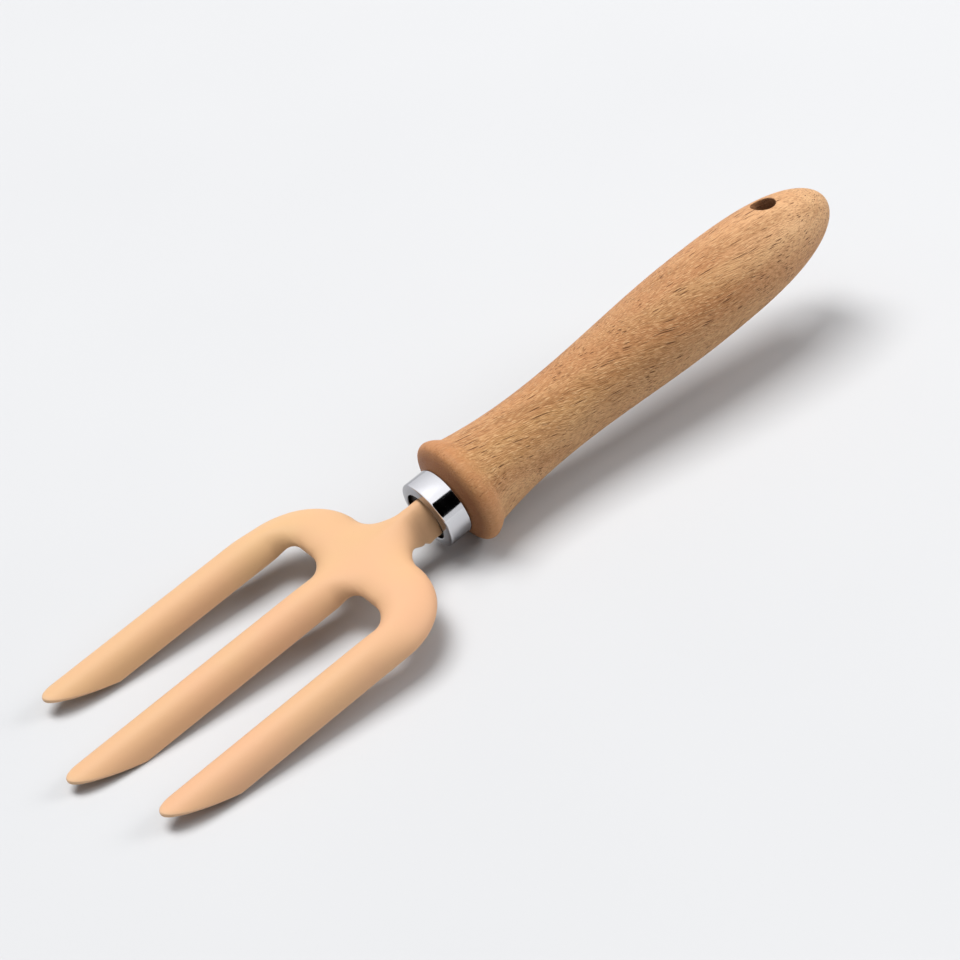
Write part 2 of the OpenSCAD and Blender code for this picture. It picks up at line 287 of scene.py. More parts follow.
def makeHandle(size):
    def gripRadius(x):
        # Concave flare to the waist, smooth swell to the grip, then a rounded end
        flare = np.clip((size["waistX"] - x) / (size["waistX"] - size["flareX"]), 0, 1)
        tail = np.clip((x - size["gripX"]) / (size["length"] - size["gripX"]), 0, 1)
        front = size["waistR"] + (size["collarR"] - size["collarStep"] - size["waistR"]) * (
            flare ** size["flarePower"])
        swell = size["waistR"] + (size["gripR"] - size["waistR"]) * ease(x, size["waistX"], size["gripX"])
        return np.where(x < size["waistX"], front, swell) * np.sqrt(1 - tail ** size["tailPower"])

    holeX = size["length"] - size["holeInset"]
    holeLow, holeHigh = holeX - size["holeReach"], holeX + size["holeReach"]
    spigotX, spigotR, edge = -size["spigotLength"], size["spigotR"], size["spigotEdge"]
    boreEnd, boreR = size["boreEnd"], size["boreR"]
    bore = np.array([[boreEnd, 0], [boreEnd, boreR], [size["boreRing"], boreR], [spigotX, boreR],
                     [spigotX, spigotR - edge], [spigotX + edge, spigotR], [0, spigotR]])
    arc = np.radians(np.arange(0, 90, size["collarArc"]))
    flareEnd = np.linspace(size["flareX"], size["collarEnd"], size["collarRings"])
    collar = np.concatenate([
        [[0, spigotR], [size["cheekX"], size["collarR"] - size["collarCheek"]]],
        np.stack([size["collarX"] + (size["flareX"] - size["collarX"]) * arc / (math.pi / 2),
                  size["collarR"] - size["collarStep"] * (1 - np.cos(arc))], -1),
        np.stack([flareEnd, gripRadius(flareEnd)], -1)])
    collar = softened(collar, size["collarSpacing"], size["collarPasses"])
    gripX = np.linspace(size["collarEnd"], holeLow, size["gripRings"])[1:-1]
    mouthX = np.linspace(holeLow, holeHigh, size["holeRows"] + 1)
    tailX = holeHigh + (size["length"] - holeHigh) * np.sin(
        np.linspace(0, math.pi / 2, size["tailRings"])[1:])
    restX = np.concatenate([gripX, mouthX, tailX])
    profile = np.concatenate([bore[:-1], collar, np.stack([restX, gripRadius(restX)], -1)])
    count, cols = len(profile), size["columns"]
    first = len(profile) - len(tailX) - size["holeRows"] - 1

    # Points of the turned grid in the hole's axes: along the tool, across the hole, along the hole
    turn = np.linspace(0, 2 * math.pi, cols, endpoint=False)
    grid = np.stack([np.repeat(profile[:, :1], cols, 1), profile[:, 1:] * np.sin(turn),
                     profile[:, 1:] * np.cos(turn)], -1)
    index = np.arange(count * cols).reshape(count, cols)
    index[0] = 0
    index[-1] = (count - 1) * cols

    # Rings from a patch of the grid in to the hole's softened mouth, down its wall and out again
    c, rows = size["holeCols"], size["holeRows"]
    across, along = np.arange(-c, c), np.arange(rows)
    rowOf = first + np.concatenate([np.zeros(2 * c, int), along, np.full(2 * c, rows), rows - along])
    colOf = np.concatenate([across, np.full(rows, c), -across, np.full(rows, -c)])
    topLoop, lowLoop = index[rowOf, colOf % cols], index[rowOf, (cols // 2 - colOf) % cols]
    rim = grid[rowOf, colOf % cols][:, :2] - [holeX, 0]
    bearing = np.arctan2(rim[:, 1], rim[:, 0])
    circle = np.stack([np.cos(bearing), np.sin(bearing)], -1)
    share = (np.arange(size["holeRings"]) + 1)[:, None, None] / size["holeRings"]
    flat = rim + (circle * (size["holeR"] + size["holeSoft"]) - rim) * share
    lean = np.radians(np.linspace(0, 90, size["softSteps"] + 1)[1:])[:, None, None]
    flat = np.concatenate([flat, circle * (size["holeR"] + size["holeSoft"] * (1 - np.sin(lean)))])
    sink = np.concatenate([np.zeros(size["holeRings"]), size["holeSoft"] * (1 - np.cos(lean[:, 0, 0]))])
    high = np.sqrt(gripRadius(flat[..., 0] + holeX) ** 2 - flat[..., 1] ** 2) - sink[:, None]
    mouth = np.concatenate([flat + [holeX, 0], high[..., None]], -1)
    fall = np.linspace(1, -1, size["wallRings"] + 2)[1:-1, None]
    wall = np.concatenate([np.repeat(mouth[-1:, :, :2], len(fall), 0), (mouth[-1, :, 2] * fall)[..., None]],
                          -1)
    stack = np.concatenate([mouth, wall, mouth[::-1] * [1, 1, -1]])
    inner = count * cols + np.arange(stack.shape[0] * stack.shape[1]).reshape(stack.shape[:2])
    rings = np.concatenate([topLoop[None], inner, lowLoop[None]])
    rings = np.concatenate([rings, rings[:, :1]], 1)

    wrapped = np.concatenate([index, index[:, :1]], 1)
    quads = np.stack([wrapped[:-1, :-1], wrapped[1:, :-1], wrapped[1:, 1:], wrapped[:-1, 1:]], -1)
    keep = np.ones((count - 1, cols), bool)
    holes = np.arange(-c, c)
    keep[first:first + rows, holes % cols] = False
    keep[first:first + rows, (holes + cols // 2) % cols] = False
    ringQuads = np.stack([rings[:-1, :-1], rings[1:, :-1], rings[1:, 1:], rings[:-1, 1:]], -1).reshape(-1, 4)
    parts = [quads[1:-1][keep[1:-1]], ringQuads, quads[0][:, 1:], quads[-1][:, [0, 1, 3]]]

    points = np.concatenate([grid.reshape(-1, 3), stack.reshape(-1, 3)])
    a = math.radians(size["holeTurn"])
    u, v, w = points.T
    points = np.stack([u, v * math.cos(a) + w * math.sin(a), w * math.cos(a) - v * math.sin(a)], -1)
    outR = np.hypot(v, w)
    # Painted shade, marked up to 1 on the collar's front, whose end grain is darker too, and in the hole past
    # its mouth, and 2 on the spigot's far part inside the ferrule
    cheekAndShade = np.clip((size["collarR"] - size["cheekRim"] - outR) / size["cheekFade"], 0, 1)
    cheekAndShade = cheekAndShade * (u < size["cheekTo"]) * (u > size["cheekFrom"]) + 2 * (u < size["spigotShade"])
    inHole = np.zeros(stack.shape[:2])
    inHole[size["holeRings"] + 2:-size["holeRings"] - 2] = size["holeShade"]
    cheekAndShade = np.maximum(cheekAndShade, np.concatenate([np.zeros(count * cols), inHole.ravel()]))
    # Points under the hole's patches and the doubles at both ends of the profile are left out
    used = np.zeros(len(points), bool)
    used[np.concatenate([part.ravel() for part in parts])] = True
    renumber = np.cumsum(used) - 1
    faces = []
    for part in parts:
        faces += renumber[part].tolist()
    addPiece("turnedHandle", toFloor(points[used]), faces, beech, "handle",
             {"cheekAndShade": cheekAndShade[used]})


# Ferrule: a short tube with its front rolled in

ferruleTube = {
    "radius": 10.3, "length": 7.8, "wall": 0.8, "mouthR": 7.3, "bendX": 1.1, "bendR": 0.6, "dish": 0.5,
    "lipR": 0.35, "innerBevel": 0.3, "lipFade": 0.3,
    "columns": 160, "bendSteps": 12, "lipSteps": 13, "tailSteps": 9,
}


def makeFerrule(size):
    # Closed profile: a tight outer bend, a front face that stands proud towards the mouth, a half-round
    # lip, the same way back a wall's width inside, and a half-round tail
    r, wall, front = size["radius"], size["wall"], -size["length"]
    arc = np.linspace(0, math.pi / 2, size["bendSteps"])
    lipArc = np.linspace(-math.pi / 2, math.pi / 2, size["lipSteps"])
    faceX = front + size["dish"]
    bendX = size["bendX"] - size["dish"]
    outer = np.stack([faceX + bendX * (1 - np.sin(arc)), r - size["bendR"] * (1 - np.cos(arc))], -1)
    lip = np.stack([front + wall / 2 + wall / 2 * np.sin(lipArc),
                    size["mouthR"] + size["lipR"] * (1 - np.cos(lipArc))], -1)
    bevel = size["innerBevel"]
    inner = np.array([[faceX + wall, r - wall - bevel], [faceX + wall + bevel, r - wall]])
    tailArc = np.linspace(0, math.pi, size["tailSteps"])
    tail = np.stack([-wall / 2 + wall / 2 * np.sin(tailArc), r - wall / 2 - wall / 2 * np.cos(tailArc)], -1)
    profile = np.concatenate([outer, lip, inner, tail])
    turn = np.linspace(0, 2 * math.pi, size["columns"], endpoint=False)
    points = np.stack([np.repeat(profile[:, :1], len(turn), 1), profile[:, 1:] * np.sin(turn),
                       profile[:, 1:] * np.cos(turn)], -1)
    index = np.arange(points.shape[0] * points.shape[1]).reshape(points.shape[:2])
    index = np.concatenate([index, index[:1]])
    index = np.concatenate([index, index[:, :1]], 1)
    faces = np.stack([index[:-1, :-1], index[:-1, 1:], index[1:, 1:], index[1:, :-1]], -1).reshape(-1, 4)
    # Marked where the front turns in past its bright outer bend; the mark brings painted shade and a rougher
    # finish
    bendEnd = size["bendR"] - r
    mark = np.repeat(ease(-profile[:, 1:], bendEnd, bendEnd + size["lipFade"]), len(turn), 1)
    addPiece("rolledFerrule", toFloor(points.reshape(-1, 3)), faces.tolist(), chrome, "ferrule",
             {"lip": mark.ravel()})


# The tool lies on the collar and on the heel of its middle tine
middleHeel = forkHead["length"] - forkHead["pointLength"]
tilt = math.atan((woodHandle["collarR"] + forkHead["edgeZ"]) / (middleHeel + woodHandle["collarX"]))
lift = woodHandle["collarR"] * math.cos(tilt) - woodHandle["collarX"] * math.sin(tilt)
noseX = -forkHead["length"] * math.cos(tilt) - forkHead["crownZ"] * math.sin(tilt)
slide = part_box("fork_head")[0].x * 1000 - noseX


# Shader helpers and the effects that several finishes share


def addNode(tree, kind, inputs=None, **settings):
    node = tree.nodes.new(kind)
    for key, value in settings.items():
        setattr(node, key, value)
    for key, value in (inputs or {}).items():
        if isinstance(value, bpy.types.NodeSocket):
            tree.links.new(value, node.inputs[key])
        else:
            node.inputs[key].default_value = value
    return node


def mixColor(tree, factor, first, second):
    node = addNode(tree, "ShaderNodeMix", data_type="RGBA")
    # The node's colour sockets: input 0 is the factor, 6 and 7 the two colours, and output 2 the mix
    for socket, value in ((node.inputs[0], factor), (node.inputs[6], first), (node.inputs[7], second)):
        if isinstance(value, bpy.types.NodeSocket):
            tree.links.new(value, socket)
        else:
            socket.default_value = value
    return node.outputs[2]


def remap(tree, value, low, high, toLow=0.0, toHigh=1.0):
    return addNode(tree, "ShaderNodeMapRange", {0: value, 1: low, 2: high, 3: toLow, 4: toHigh}).outputs[0]


def maths(tree, operation, first, second=0.0):
    return addNode(tree, "ShaderNodeMath", {0: first, 1: second}, operation=operation).outputs[0]


def newGroup(name, inputs, outputs):
    tree = bpy.data.node_groups.new(name, "ShaderNodeTree")
    for label, kind in inputs:
        tree.interface.new_socket(label, in_out="INPUT", socket_type=kind)
    for label, kind in outputs:
        tree.interface.new_socket(label, in_out="OUTPUT", socket_type=kind)
    return tree, tree.nodes.new("NodeGroupInput").outputs, tree.nodes.new("NodeGroupOutput").inputs


def useGroup(tree, group, **inputs):
    node = addNode(tree, "ShaderNodeGroup", node_tree=group)
    for key, value in inputs.items():
        if isinstance(value, bpy.types.NodeSocket):
            tree.links.new(value, node.inputs[key])
        else:
            node.inputs[key].default_value = value
    return node.outputs


def makeStretchedNoise():
    # Noise read through stretched axes: its streaks run along the axis with the smallest Stretch
    tree, inputs, outputs = newGroup(
        "stretchedNoise",
        [("Place", "NodeSocketVector"), ("Stretch", "NodeSocketVector"), ("Detail", "NodeSocketFloat"),
         ("Low", "NodeSocketFloat"), ("High", "NodeSocketFloat")],
        [("Mask", "NodeSocketFloat")])
    place = addNode(tree, "ShaderNodeVectorMath", {0: inputs["Place"], 1: inputs["Stretch"]},
                    operation="MULTIPLY").outputs[0]
    noise = addNode(tree, "ShaderNodeTexNoise", {"Vector": place, "Scale": 1.0, "Detail": inputs["Detail"],
                                                 "Roughness": 0.55})
    mask = addNode(tree, "ShaderNodeMapRange", {0: noise.outputs[0], 1: inputs["Low"], 2: inputs["High"]})
    tree.links.new(mask.outputs[0], outputs["Mask"])
    return tree


def makeFlecks():
    # Stretched cells, one fleck in each cell whose random number is under the share; a second random
    # number sets its reach, and its edge is soft
    tree, inputs, outputs = newGroup(
        "flecks",
        [("Place", "NodeSocketVector"), ("Stretch", "NodeSocketVector"), ("Share", "NodeSocketFloat"),
         ("Size", "NodeSocketFloat")],
        [("Mask", "NodeSocketFloat")])
    place = addNode(tree, "ShaderNodeVectorMath", {0: inputs["Place"], 1: inputs["Stretch"]},
                    operation="MULTIPLY").outputs[0]
    cells = addNode(tree, "ShaderNodeTexVoronoi", {"Vector": place, "Scale": 1.0, "Randomness": 1.0},
                    feature="F1")
    parts = addNode(tree, "ShaderNodeSeparateColor", {0: cells.outputs["Color"]}).outputs
    chosen = maths(tree, "LESS_THAN", parts[0], inputs["Share"])
    shortest, softEdge = 0.45, 0.45
    reach = maths(tree, "MULTIPLY", remap(tree, parts[1], 0.0, 1.0, shortest, 1.0), inputs["Size"])
    inside = maths(tree, "SUBTRACT", 1.0, maths(tree, "DIVIDE", cells.outputs["Distance"], reach))
    soft = remap(tree, inside, 0.0, softEdge)
    tree.links.new(maths(tree, "MULTIPLY", soft, chosen), outputs["Mask"])
    return tree


stretchedNoise = makeStretchedNoise()
flecks = makeFlecks()


def newFinish(name):
    material = bpy.data.materials.new(name)
    material.use_nodes = True
    tree = material.node_tree
    tree.nodes.clear()
    shader = addNode(tree, "ShaderNodeBsdfPrincipled")
    addNode(tree, "ShaderNodeOutputMaterial", {"Surface": shader.outputs[0]})
    place = addNode(tree, "ShaderNodeTexCoord").outputs["Object"]
    return material, tree, shader, place


def toolPlace(tree, place, roll):
    # The tool's own axes in metres, rolled about its length by so many degrees
    turn = Matrix.Rotation(math.radians(roll), 3, "X") @ Matrix.Rotation(tilt, 3, "Y")
    back = turn @ Vector(toFloor([[0, 0, 0]])[0])
    return addNode(tree, "ShaderNodeMapping", {"Vector": place, "Rotation": turn.to_euler("XYZ"),
                                               "Location": -back}).outputs[0]


def finishShader(tree, shader, color, rough, height, bump):
    normal = addNode(tree, "ShaderNodeBump", {"Height": height, **bump}).outputs[0]
    for key, value in (("Base Color", color), ("Roughness", rough), ("Normal", normal)):
        tree.links.new(value, shader.inputs[key])


powderFinish = {
    "tones": {"base": (0.635, 0.395, 0.205, 1), "warm": (0.66, 0.375, 0.215, 1),
              # The lighter rim tone is a thinner coat with a painted highlight
              "thinCoatHighlight": (0.70, 0.48, 0.31, 1), "dust": (0.42, 0.23, 0.12, 1)},
    "patches": {"Stretch": (40, 55, 55), "Detail": 2.0, "Low": 0.3, "High": 0.7},
    "peel": {"Stretch": (1500, 1500, 1500), "Detail": 2.0, "Low": 0.2, "High": 0.8},
    "dust": {"Stretch": (700, 700, 700), "Share": 0.06, "Size": 0.22},
    "sides": (0.035, -0.035), "pink": (0.2, 1.7), "rimShare": 0.55, "dustShare": 0.12,
    "unevenness": (0.2, 1.8), "roughness": (0.42, 0.54), "bump": {"Strength": 0.10, "Distance": 0.0001},
    "specular": 0.12,
}


def makePowderCoat(look):
    # Yellower towards +Y and pinker towards -Y in soft patches, lighter on the rims, where the coat thins and
    # a highlight is painted
    material, tree, shader, place = newFinish("powderCoat")
    tones = look["tones"]
    patches = useGroup(tree, stretchedNoise, Place=place, **look["patches"])["Mask"]
    peel = useGroup(tree, stretchedNoise, Place=place, **look["peel"])["Mask"]
    dust = useGroup(tree, flecks, Place=place, **look["dust"])["Mask"]
    side = remap(tree, addNode(tree, "ShaderNodeSeparateXYZ", {0: place}).outputs[1], *look["sides"])
    rim = addNode(tree, "ShaderNodeAttribute", attribute_name="rim").outputs["Fac"]
    pink = remap(tree, maths(tree, "ADD", patches, side), *look["pink"])
    color = mixColor(tree, pink, tones["base"], tones["warm"])
    # Lighter rims: a thinner coat and a painted highlight
    color = mixColor(tree, maths(tree, "MULTIPLY", rim, look["rimShare"]), color, tones["thinCoatHighlight"])
    color = mixColor(tree, maths(tree, "MULTIPLY", dust, look["dustShare"]), color, tones["dust"])
    rough = remap(tree, maths(tree, "ADD", patches, peel), *look["unevenness"], *look["roughness"])
    finishShader(tree, shader, color, rough, peel, look["bump"])
    shader.inputs["Specular IOR Level"].default_value = look["specular"]
    return material


def makeGrainPlace():
    # The second axis bent so that streaks along the first follow the wood's fibres: a steady slope,
    # one long bow of sine form and a slow random waver
    tree, inputs, outputs = newGroup(
        "grainPlace",
        [("Place", "NodeSocketVector"), ("Slope", "NodeSocketFloat"), ("Bow", "NodeSocketFloat"),
         ("Middle", "NodeSocketFloat"), ("Turns", "NodeSocketFloat"), ("Waver", "NodeSocketFloat")],
        [("Place", "NodeSocketVector")])
    x, y, z = addNode(tree, "ShaderNodeSeparateXYZ", {0: inputs["Place"]}).outputs
    wave = maths(tree, "SINE", maths(tree, "MULTIPLY", maths(tree, "SUBTRACT", x, inputs["Middle"]),
                                     inputs["Turns"]))
    noise = addNode(tree, "ShaderNodeTexNoise", {"Vector": inputs["Place"], "Scale": 42.0,
                                                 "Detail": 1.0}).outputs[0]
    bent = maths(tree, "SUBTRACT", y, maths(tree, "MULTIPLY", x, inputs["Slope"]))
    bent = maths(tree, "SUBTRACT", bent, maths(tree, "MULTIPLY", wave, inputs["Bow"]))
    bent = maths(tree, "SUBTRACT", bent, maths(tree, "MULTIPLY", noise, inputs["Waver"]))
    place = addNode(tree, "ShaderNodeCombineXYZ", {0: x, 1: bent, 2: z}).outputs[0]
    tree.links.new(place, outputs["Place"])
    return tree


grainPlace = makeGrainPlace()

# Each layer of the wood is a mask, its share, its tone and whether it fades on the collar's lip
beechFinish = {
    # The second tone is painted light for the handle's end and lower side, the sixth, darker and redder,
    # painted shade for its upper side
    "tones": {"light": (0.59, 0.328, 0.150, 1), "paintedLight": (0.69, 0.41, 0.215, 1),
              "mid": (0.41, 0.210, 0.078, 1), "red": (0.43, 0.180, 0.070, 1),
              "tan": (0.43, 0.272, 0.110, 1), "upperShade": (0.56, 0.270, 0.125, 1),
              "streak": (0.27, 0.115, 0.036, 1), "fibre": (0.19, 0.080, 0.026, 1),
              "pore": (0.085, 0.030, 0.010, 1), "ray": (0.74, 0.47, 0.24, 1),
              # The last two tones are painted shade: the collar's front, whose end grain is darker too, and
              # near black shade
              "cheekAndShade": (0.17, 0.062, 0.025, 1), "shade": (0.012, 0.008, 0.006, 1)},
    "roll": 135.0, "grain": {"Slope": 0.19, "Bow": 0.0037, "Middle": 0.055, "Turns": 39.0, "Waver": 0.006},
    "noises": {
        "broad": {"Stretch": (14, 75, 75), "Detail": 2.0, "Low": 0.32, "High": 0.68},
        "redness": {"Stretch": (11, 110, 90), "Detail": 2.0, "Low": 0.45, "High": 0.72},
        "tanness": {"Stretch": (17, 95, 60), "Detail": 1.0, "Low": 0.5, "High": 0.75},
        "streaks": {"Stretch": (13, 190, 150), "Detail": 3.0, "Low": 0.52, "High": 0.72},
        "grit": {"Stretch": (480, 2900, 2900), "Detail": 2.0, "Low": 0.30, "High": 0.70},
        "wander": {"Stretch": (22, 60, 60), "Detail": 2.0, "Low": 0.0, "High": 1.0},
    },
    "flecks": {
        "pores": {"Stretch": (95, 1800, 1800), "Share": 0.36, "Size": 0.40},
        "finePores": {"Stretch": (240, 2300, 2300), "Share": 0.5, "Size": 0.42},
        "rays": {"Stretch": (450, 1800, 1900), "Share": 0.7, "Size": 0.5},
    },
    "rings": {"middle": (0.014, 0.018), "count": 380.0, "wander": 3.4, "lean": 22.0},
    # Ranges along and across the handle place painted light on its end and its lower side and painted shade
    # on its upper side
    "tail": (0.095, 0.128), "belly": {"middle": 0.075, "reach": (0.034, 0.008)},
    "upperShade": (-0.003, -0.013), "under": (0.003, 0.012), "heart": {"middle": 0.019, "reach": (0.007, 0.001)},
    "lip": (0.0095, 0.0055), "shown": (0.0105, 0.0055, 1.0, 0.4), "cheekShare": 0.7,
    "layers": (
        ("tanness", 0.65, "tan", False), ("redness", 0.75, "red", False), ("belly", 0.40, "streak", False),
        # Painted light on the end and the lower side, painted shade on the upper side
        ("tail", 0.85, "paintedLight", False), ("upperShade", 0.65, "upperShade", False), ("under", 0.50, "paintedLight", False),
        ("rings", 0.20, "red", False), ("lip", 0.55, "red", False), ("heart", 0.45, "red", True),
        ("streaks", 0.55, "streak", True), ("darkGrit", 0.55, "fibre", True),
        ("lightGrit", 0.30, "ray", True), ("rays", 0.36, "ray", True),
        ("finePores", 0.50, "fibre", True), ("pores", 0.85, "pore", True),
    ),
    "height": {"rays": 0.4, "finePores": 0.6}, "bump": {"Strength": 0.5, "Distance": 0.0003},
    "unevenness": (0.0, 1.6), "roughness": (0.50, 0.72), "specular": 0.16,
}


def makeBeech(look):
    # Light and dark wood in broad patches, the listed layers laid over it in turn, then painted shade on the
    # collar's front, in the hole and on the spigot; pores sink in the height, grit and rays stand up
    material, tree, shader, place = newFinish("beech")
    tones = look["tones"]
    place = toolPlace(tree, place, look["roll"])
    along, across, _ = addNode(tree, "ShaderNodeSeparateXYZ", {0: place}).outputs
    place = useGroup(tree, grainPlace, Place=place, **look["grain"])["Place"]
    masks = {name: useGroup(tree, stretchedNoise, Place=place, **values)["Mask"]
             for name, values in look["noises"].items()}
    masks.update({name: useGroup(tree, flecks, Place=place, **values)["Mask"]
                  for name, values in look["flecks"].items()})
    masks["darkGrit"] = remap(tree, masks["grit"], 0.5, 0.0)
    masks["lightGrit"] = remap(tree, masks["grit"], 0.5, 1.0)
    # Year rings round a line behind the handle: the sine of the distance from it, leaning along the
    # handle and bent by slow noise
    x, y, z = addNode(tree, "ShaderNodeSeparateXYZ", {0: place}).outputs
    rings = look["rings"]
    deep = maths(tree, "ADD", maths(tree, "POWER", maths(tree, "ADD", y, rings["middle"][0]), 2.0),
                 maths(tree, "POWER", maths(tree, "SUBTRACT", z, rings["middle"][1]), 2.0))
    drift = maths(tree, "ADD", maths(tree, "MULTIPLY", masks["wander"], rings["wander"]),
                  maths(tree, "MULTIPLY", x, rings["lean"]))
    phase = maths(tree, "ADD", maths(tree, "MULTIPLY", maths(tree, "SQRT", deep), rings["count"]), drift)
    masks["rings"] = remap(tree, maths(tree, "SINE", maths(tree, "MULTIPLY", phase, 2 * math.pi)), -1.0, 1.0)
    # Places on the handle: painted light on its end and its lower side, its darker belly, painted shade,
    # darker and redder, on its upper side, a red heart line, and the collar's round lip, which is smooth and
    # redder
    middle, reach = look["belly"]["middle"], look["belly"]["reach"]
    masks["belly"] = remap(tree, maths(tree, "ABSOLUTE", maths(tree, "SUBTRACT", along, middle)), *reach)
    middle, reach = look["heart"]["middle"], look["heart"]["reach"]
    masks["heart"] = remap(tree, maths(tree, "ABSOLUTE", maths(tree, "ADD", y, middle)), *reach)
    for name, axis in (("tail", along), ("upperShade", across), ("under", across), ("lip", along)):
        masks[name] = remap(tree, axis, *look[name])
    shown = remap(tree, along, *look["shown"])

    color = mixColor(tree, masks["broad"], tones["mid"], tones["light"])
    for name, share, tone, fades in look["layers"]:
        mask = maths(tree, "MULTIPLY", masks[name], shown) if fades else masks[name]
        color = mixColor(tree, maths(tree, "MULTIPLY", mask, share), color, tones[tone])
    cheekAndShade = addNode(tree, "ShaderNodeAttribute", attribute_name="cheekAndShade").outputs["Fac"]
    # Painted shade on the collar's front, with its darker end grain, and in the hole, then near black on the
    # spigot
    color = mixColor(tree, remap(tree, cheekAndShade, 0.0, 1.0, 0.0, look["cheekShare"]), color, tones["cheekAndShade"])
    color = mixColor(tree, remap(tree, cheekAndShade, 1.0, 2.0), color, tones["shade"])
    raised = maths(tree, "ADD", masks["grit"], maths(tree, "MULTIPLY", masks["rays"], look["height"]["rays"]))
    sunk = maths(tree, "ADD", masks["pores"],
                 maths(tree, "MULTIPLY", masks["finePores"], look["height"]["finePores"]))
    height = maths(tree, "MULTIPLY", maths(tree, "SUBTRACT", raised, sunk), shown)
    rough = remap(tree, maths(tree, "ADD", masks["grit"], masks["pores"]), *look["unevenness"],
                  *look["roughness"])
    finishShader(tree, shader, color, rough, height, look["bump"])
    shader.inputs["Specular IOR Level"].default_value = look["specular"]
    return material


# The third tone of each metal is painted shade, on faces seen at a glance and on the rolled lip
chromeFinish = {
    "tones": ((0.70, 0.70, 0.72, 1), (0.62, 0.62, 0.64, 1), (0.30, 0.30, 0.32, 1)),
    "lines": {"Stretch": (2500, 300, 300), "Detail": 2.0, "Low": 0.3, "High": 0.75},
    "roughness": (0.05, 0.14),
}
steelFinish = {
    "tones": ((0.50, 0.50, 0.51, 1), (0.36, 0.35, 0.34, 1), (0.2, 0.2, 0.2, 1)),
    "lines": {"Stretch": (120, 2400, 2400), "Detail": 2.0, "Low": 0.3, "High": 0.75},
    "roughness": (0.28, 0.45),
}
bothMetals = {
    "smears": {"Stretch": (160, 90, 160), "Detail": 3.0, "Low": 0.4, "High": 0.75}, "smearShare": 0.5,
    "glancingShade": (0.12, 0.78), "lipShadeShare": 0.9, "lipRoughness": 0.14,
    "bump": {"Strength": 0.05, "Distance": 0.00005},
}


def makeMetal(name, look, shared):
    # Bright or plain metal: fine lines along or round the piece, faint smears that dull it, a duller, rougher
    # rolled lip with painted shade, and painted shade on faces seen at a glance
    material, tree, shader, place = newFinish(name)
    clean, smeared, paintedShadeTone = look["tones"]
    lines = useGroup(tree, stretchedNoise, Place=place, **look["lines"])["Mask"]
    smears = useGroup(tree, stretchedNoise, Place=place, **shared["smears"])["Mask"]
    lip = addNode(tree, "ShaderNodeAttribute", attribute_name="lip").outputs["Fac"]
    facing = addNode(tree, "ShaderNodeLayerWeight", {"Blend": 0.5}).outputs["Facing"]
    color = mixColor(tree, maths(tree, "MULTIPLY", smears, shared["smearShare"]), clean, smeared)
    # Painted shade on faces seen at a glance and on the rolled lip
    color = mixColor(tree, remap(tree, facing, *shared["glancingShade"]), color, paintedShadeTone)
    color = mixColor(tree, maths(tree, "MULTIPLY", lip, shared["lipShadeShare"]), color, paintedShadeTone)
    rough = remap(tree, maths(tree, "ADD", lines, smears), 0.0, 2.0, *look["roughness"])
    rough = maths(tree, "ADD", rough, maths(tree, "MULTIPLY", lip, shared["lipRoughness"]))
    finishShader(tree, shader, color, rough, lines, shared["bump"])
    shader.inputs["Metallic"].default_value = 1.0
    return material


powderCoat = makePowderCoat(powderFinish)
beech = makeBeech(beechFinish)
chrome = makeMetal("chrome", chromeFinish, bothMetals)
bareSteel = makeMetal("bareSteel", steelFinish, bothMetals)
print("finishes ready")

makeForkHead(forkHead)
makeHandle(woodHandle)
makeFerrule(ferruleTube)

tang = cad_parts["tang"]
tang.data.materials.clear()
tang.data.materials.append(bareSteel)
print("tang keeps its frame shape")


# Floor, lights and camera

studio = {
    "floor": 2.4, "floorTones": ((0.575, 0.575, 0.580, 1), (0.562, 0.562, 0.568, 1)), "backdrop": 0.85,
    "floorPatches": {"Stretch": (6, 6, 6), "Detail": 2.0, "Low": 0.3, "High": 0.7},
    "floorRoughness": 0.9, "floorSpecular": 0.1,
    "worldTone": (0.87, 0.925, 0.99, 1), "backdropTone": (0.925, 0.925, 0.935, 1), "world": 0.25,
    "keyPlace": (-0.175, 0.83, 3.41), "keySize": (1.5, 2.5), "keyPower": 132.0,
    "endPlace": (1.223, -0.651, 0.80), "endSize": (0.7, 0.7), "endPower": 10.5,
    "topPlace": (0.0, 0.05, 1.8), "topSize": (2.0, 2.0), "topPower": 8.0,
    "aim": (0.0, 0.0, 0.01), "cardAway": 0.5, "cardEnds": (-1.5, 0.4), "cardSpot": -4.0, "cardSteps": 9,
    "cardTone": (0.98, 0.98, 1.0, 1),
    "cards": (("whiteCard", (-24.0, 36.0), 1.32), ("blackCard", (36.0, 62.0), 0.0),
              ("paleCard", (62.0, 70.0), 0.8)),
}
shot = {"place": (-0.26941, -0.47650, 0.45792), "turn": (50.381, 9.997, -37.952), "lens": 97.5}


def makeFloor():
    half = studio["floor"] / 2
    mesh = bpy.data.meshes.new("floor")
    mesh.from_pydata([(-half, -half, 0), (half, -half, 0), (half, half, 0), (-half, half, 0)], [],
                     [(0, 1, 2, 3)])
    material, tree, shader, place = newFinish("paleFloor")
    tone = useGroup(tree, stretchedNoise, Place=place, **studio["floorPatches"])["Mask"]
    color = mixColor(tree, tone, *studio["floorTones"])
    tree.links.new(color, shader.inputs["Base Color"])
    shader.inputs["Roughness"].default_value = studio["floorRoughness"]
    shader.inputs["Specular IOR Level"].default_value = studio["floorSpecular"]
    mesh.materials.append(material)
    floor = bpy.data.objects.new("floor", mesh)
    bpy.context.scene.collection.objects.link(floor)


def addSoftbox(name, place, size, power):
    light = bpy.data.lights.new(name, "AREA")
    light.shape = "RECTANGLE"
    light.size, light.size_y = size
    light.energy = power
    lamp = bpy.data.objects.new(name, light)
    lamp.location = place
    lamp.rotation_euler = (Vector(place) - Vector(studio["aim"])).to_track_quat("Z", "Y").to_euler()
    bpy.context.scene.collection.objects.link(lamp)


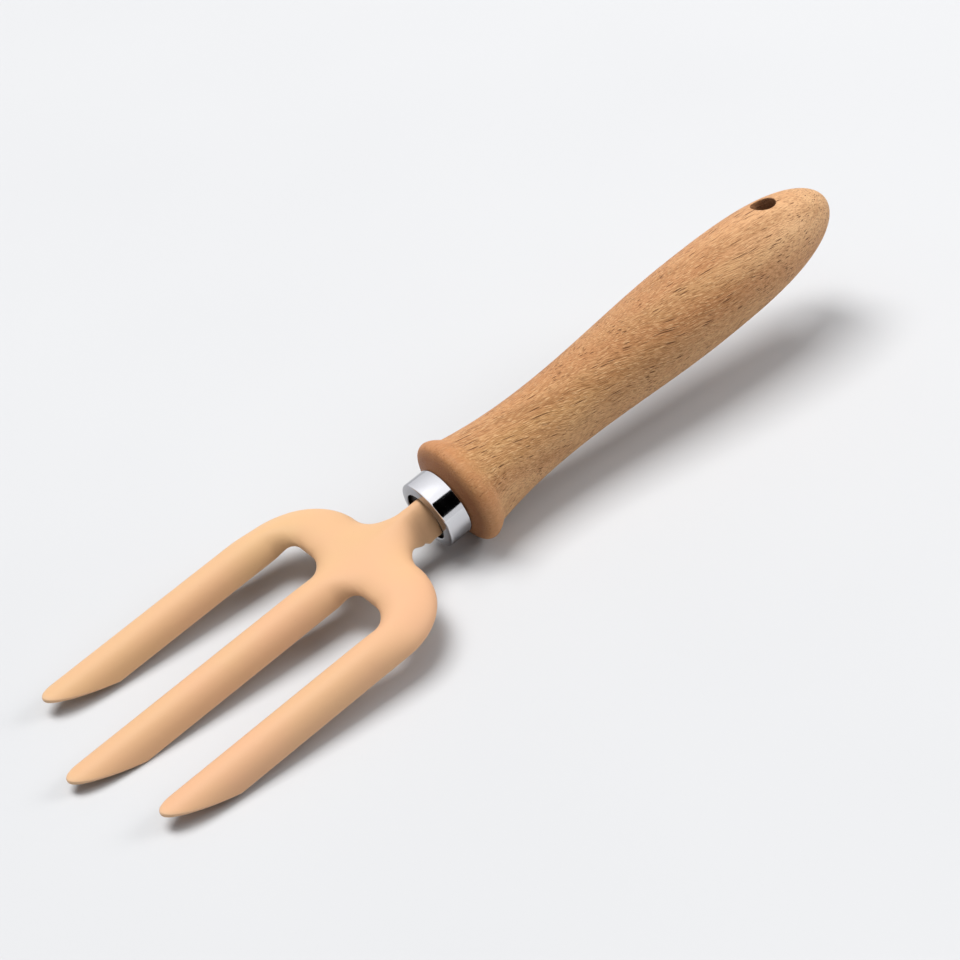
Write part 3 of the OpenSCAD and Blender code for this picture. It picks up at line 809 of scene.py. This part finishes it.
def makeCard(name, turns, glow):
    # A card that only shiny faces see: where rays from the camera go after they meet the ferrule at
    # cardSpot, millimetres along the tool, between two turns about its axis, at the set distance; it
    # glows evenly or is black
    material = bpy.data.materials.new(name)
    material.use_nodes = True
    shader = material.node_tree.nodes["Principled BSDF"]
    shader.inputs["Base Color"].default_value = (0.0, 0.0, 0.0, 1)
    shader.inputs["Specular IOR Level"].default_value = 0.0
    shader.inputs["Emission Color"].default_value = studio["cardTone"]
    shader.inputs["Emission Strength"].default_value = glow
    axis = toFloor([[1, 0, 0]])[0] - toFloor([[0, 0, 0]])[0]
    axis /= np.linalg.norm(axis)
    a = np.radians(np.linspace(*turns, studio["cardSteps"]))
    around = np.stack([np.zeros_like(a), -np.sin(a), np.cos(a)], -1)
    face = toFloor(around * 1000) - toFloor([[0, 0, 0]])
    point = toFloor(around * ferruleTube["radius"] + [studio["cardSpot"], 0, 0])
    ray = point - shot["place"]
    ray /= np.linalg.norm(ray, axis=1, keepdims=True)
    bounce = ray - 2 * (face * ray).sum(1, keepdims=True) * face
    middle = point + bounce * studio["cardAway"]
    points = np.stack([middle + axis * end for end in studio["cardEnds"]], 1)
    index = np.arange(2 * len(a)).reshape(-1, 2)
    faces = np.stack([index[:-1, 0], index[:-1, 1], index[1:, 1], index[1:, 0]], -1)
    mesh = bpy.data.meshes.new(name)
    mesh.from_pydata(points.reshape(-1, 3).tolist(), [], faces.tolist())
    mesh.materials.append(material)
    card = bpy.data.objects.new(name, mesh)
    for sight in ("camera", "diffuse", "shadow", "transmission", "volume_scatter"):
        setattr(card, "visible_" + sight, False)
    bpy.context.scene.collection.objects.link(card)


makeFloor()
for cardName, cardTurns, cardGlow in studio["cards"]:
    makeCard(cardName, cardTurns, cardGlow)
for lightName in ("key", "end", "top"):
    addSoftbox(lightName + "Light", studio[lightName + "Place"], studio[lightName + "Size"],
               studio[lightName + "Power"])
world = bpy.data.worlds.new("studio")
world.use_nodes = True
backdrop = world.node_tree.nodes["Background"]
# The camera sees a pale backdrop past the floor's edge, brighter than the fill that it gives
seen = addNode(world.node_tree, "ShaderNodeLightPath").outputs["Is Camera Ray"]
world.node_tree.links.new(mixColor(world.node_tree, seen, studio["worldTone"], studio["backdropTone"]),
                          backdrop.inputs[0])
world.node_tree.links.new(remap(world.node_tree, seen, 0.0, 1.0, studio["world"], studio["backdrop"]),
                          backdrop.inputs[1])
bpy.context.scene.world = world
bpy.context.scene.view_settings.view_transform = "Standard"

camera = bpy.data.objects.new("camera", bpy.data.cameras.new("camera"))
camera.data.lens = shot["lens"]
camera.data.clip_start = 0.01
camera.location = shot["place"]
camera.rotation_euler = [math.radians(a) for a in shot["turn"]]
bpy.context.scene.collection.objects.link(camera)
bpy.context.scene.camera = camera
print("stage ready")
